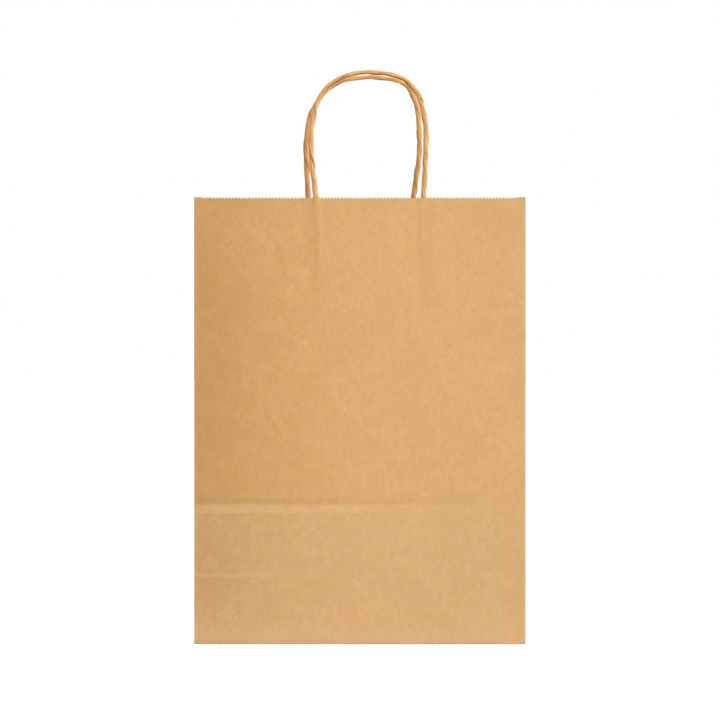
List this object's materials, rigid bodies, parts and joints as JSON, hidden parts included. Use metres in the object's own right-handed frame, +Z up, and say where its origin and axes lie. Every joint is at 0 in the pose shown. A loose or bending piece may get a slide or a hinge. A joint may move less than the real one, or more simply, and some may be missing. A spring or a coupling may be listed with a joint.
{
  "type": "gift bag",
  "caption": "Block-bottomed kraft paper gift bag with side gussets and twisted paper cord handles; folds flat.",
  "frame": {"origin": "middle of the footprint, on the surface that the bag stands on", "axes": "+Z up to the mouth, +X to the right seen from the front, -Y out of the front panel"},
  "size_m": [0.24, 0.1, 0.4157],
  "materials": {
    "kraft_paper": "matt brown kraft paper",
    "strip_kraft": "matt brown kraft paper, glued strips",
    "cord_kraft": "twisted kraft paper cord"
  },
  "bodies": {
    "base": {"bottom_front_flap": "kraft_paper", "bottom_back_flap": "kraft_paper", "bottom_left_flap": "kraft_paper", "bottom_right_flap": "kraft_paper"},
    "front": {"front_panel": "kraft_paper", "front_handle_backing": "strip_kraft", "front_handle_cover": "strip_kraft", "front_handle_leg_left": "cord_kraft", "front_handle_leg_right": "cord_kraft"},
    "back_foot": {"back_panel_foot": "kraft_paper"},
    "back": {"back_panel": "kraft_paper", "back_handle_backing": "strip_kraft", "back_handle_cover": "strip_kraft", "back_handle_leg_left": "cord_kraft", "back_handle_leg_right": "cord_kraft"},
    "left_base": {"left_base_triangle": "kraft_paper"},
    "right_base": {"right_base_triangle": "kraft_paper"},
    "left_front_gusset": {"left_gusset_front": "kraft_paper"},
    "right_front_gusset": {"right_gusset_front": "kraft_paper"},
    "left_back_gusset": {"left_gusset_back": "kraft_paper"},
    "right_back_gusset": {"right_gusset_back": "kraft_paper"},
    "left_foot_gusset": {"left_back_triangle": "kraft_paper"},
    "right_foot_gusset": {"right_back_triangle": "kraft_paper"},
    "front_handle": {"front_handle": "cord_kraft"},
    "back_handle": {"back_handle": "cord_kraft"}
  },
  "joints": [
    {"name": "flat_fold", "type": "hinge", "parent": "base", "child": "front", "pos_m": [0, -0.0499, 0.0038], "axis": [-1, 0, 0], "range_deg": [0, 88.6], "deforming": ["left_gusset_front", "right_gusset_front", "left_gusset_back", "right_gusset_back", "left_back_triangle", "right_back_triangle"]},
    {"name": "back_foot_fold", "type": "hinge", "parent": "base", "child": "back_foot", "pos_m": [0, 0.0499, 0.0026], "axis": [1, 0, 0], "range_deg": [0, 90.01]},
    {"name": "back_fold", "type": "hinge", "parent": "back_foot", "child": "back", "pos_m": [0, 0.05015, 0.0531], "axis": [-1, 0, 0], "range_deg": [0, 180.01]},
    {"name": "front_handle_swing", "type": "hinge", "parent": "front", "child": "front_handle", "pos_m": [0, -0.0499, 0.323], "axis": [1, 0, 0], "range_deg": [0, 170]},
    {"name": "back_handle_swing", "type": "hinge", "parent": "back", "child": "back_handle", "pos_m": [0, 0.0499, 0.323], "axis": [1, 0, 0], "range_deg": [-170, 0]},
    {"name": "left_base_fold", "type": "hinge", "parent": "base", "child": "left_base", "pos_m": [-0.1199, 0, 0.0016], "axis": [0, 1, 0], "range_deg": [0, 90.01]},
    {"name": "left_front_gusset_fold", "type": "hinge", "parent": "front", "child": "left_front_gusset", "pos_m": [-0.1199, -0.0494, 0.1615], "axis": [0, 0, -1], "range_deg": [0, 90.01]},
    {"name": "left_back_gusset_fold", "type": "hinge", "parent": "back", "child": "left_back_gusset", "pos_m": [-0.1199, 0.0494, 0.1615], "axis": [0, 0, 1], "range_deg": [0, 90.01]},
    {"name": "left_foot_gusset_fold", "type": "hinge", "parent": "back_foot", "child": "left_foot_gusset", "pos_m": [-0.1199, 0.0494, 0.02655], "axis": [0, 0, 1], "range_deg": [0, 90.01]},
    {"name": "right_base_fold", "type": "hinge", "parent": "base", "child": "right_base", "pos_m": [0.1199, 0, 0.0016], "axis": [0, -1, 0], "range_deg": [0, 90.01]},
    {"name": "right_front_gusset_fold", "type": "hinge", "parent": "front", "child": "right_front_gusset", "pos_m": [0.1199, -0.0494, 0.1615], "axis": [0, 0, 1], "range_deg": [0, 90.01]},
    {"name": "right_back_gusset_fold", "type": "hinge", "parent": "back", "child": "right_back_gusset", "pos_m": [0.1199, 0.0494, 0.1615], "axis": [0, 0, -1], "range_deg": [0, 90.01]},
    {"name": "right_foot_gusset_fold", "type": "hinge", "parent": "back_foot", "child": "right_foot_gusset", "pos_m": [0.1199, 0.0494, 0.02655], "axis": [0, 0, -1], "range_deg": [0, 90.01]}
  ],
  "couplings": [
    {"joint": "back_foot_fold", "follows": "flat_fold", "ratio": 1.0158},
    {"joint": "back_fold", "follows": "flat_fold", "ratio": 2.0316},
    {"joint": "left_base_fold", "follows": "flat_fold", "ratio": 1.0158},
    {"joint": "left_front_gusset_fold", "follows": "flat_fold", "ratio": 1.0158},
    {"joint": "left_back_gusset_fold", "follows": "flat_fold", "ratio": 1.0158},
    {"joint": "left_foot_gusset_fold", "follows": "flat_fold", "ratio": 1.0158},
    {"joint": "right_base_fold", "follows": "flat_fold", "ratio": 1.0158},
    {"joint": "right_front_gusset_fold", "follows": "flat_fold", "ratio": 1.0158},
    {"joint": "right_back_gusset_fold", "follows": "flat_fold", "ratio": 1.0158},
    {"joint": "right_foot_gusset_fold", "follows": "flat_fold", "ratio": 1.0158}
  ]
}
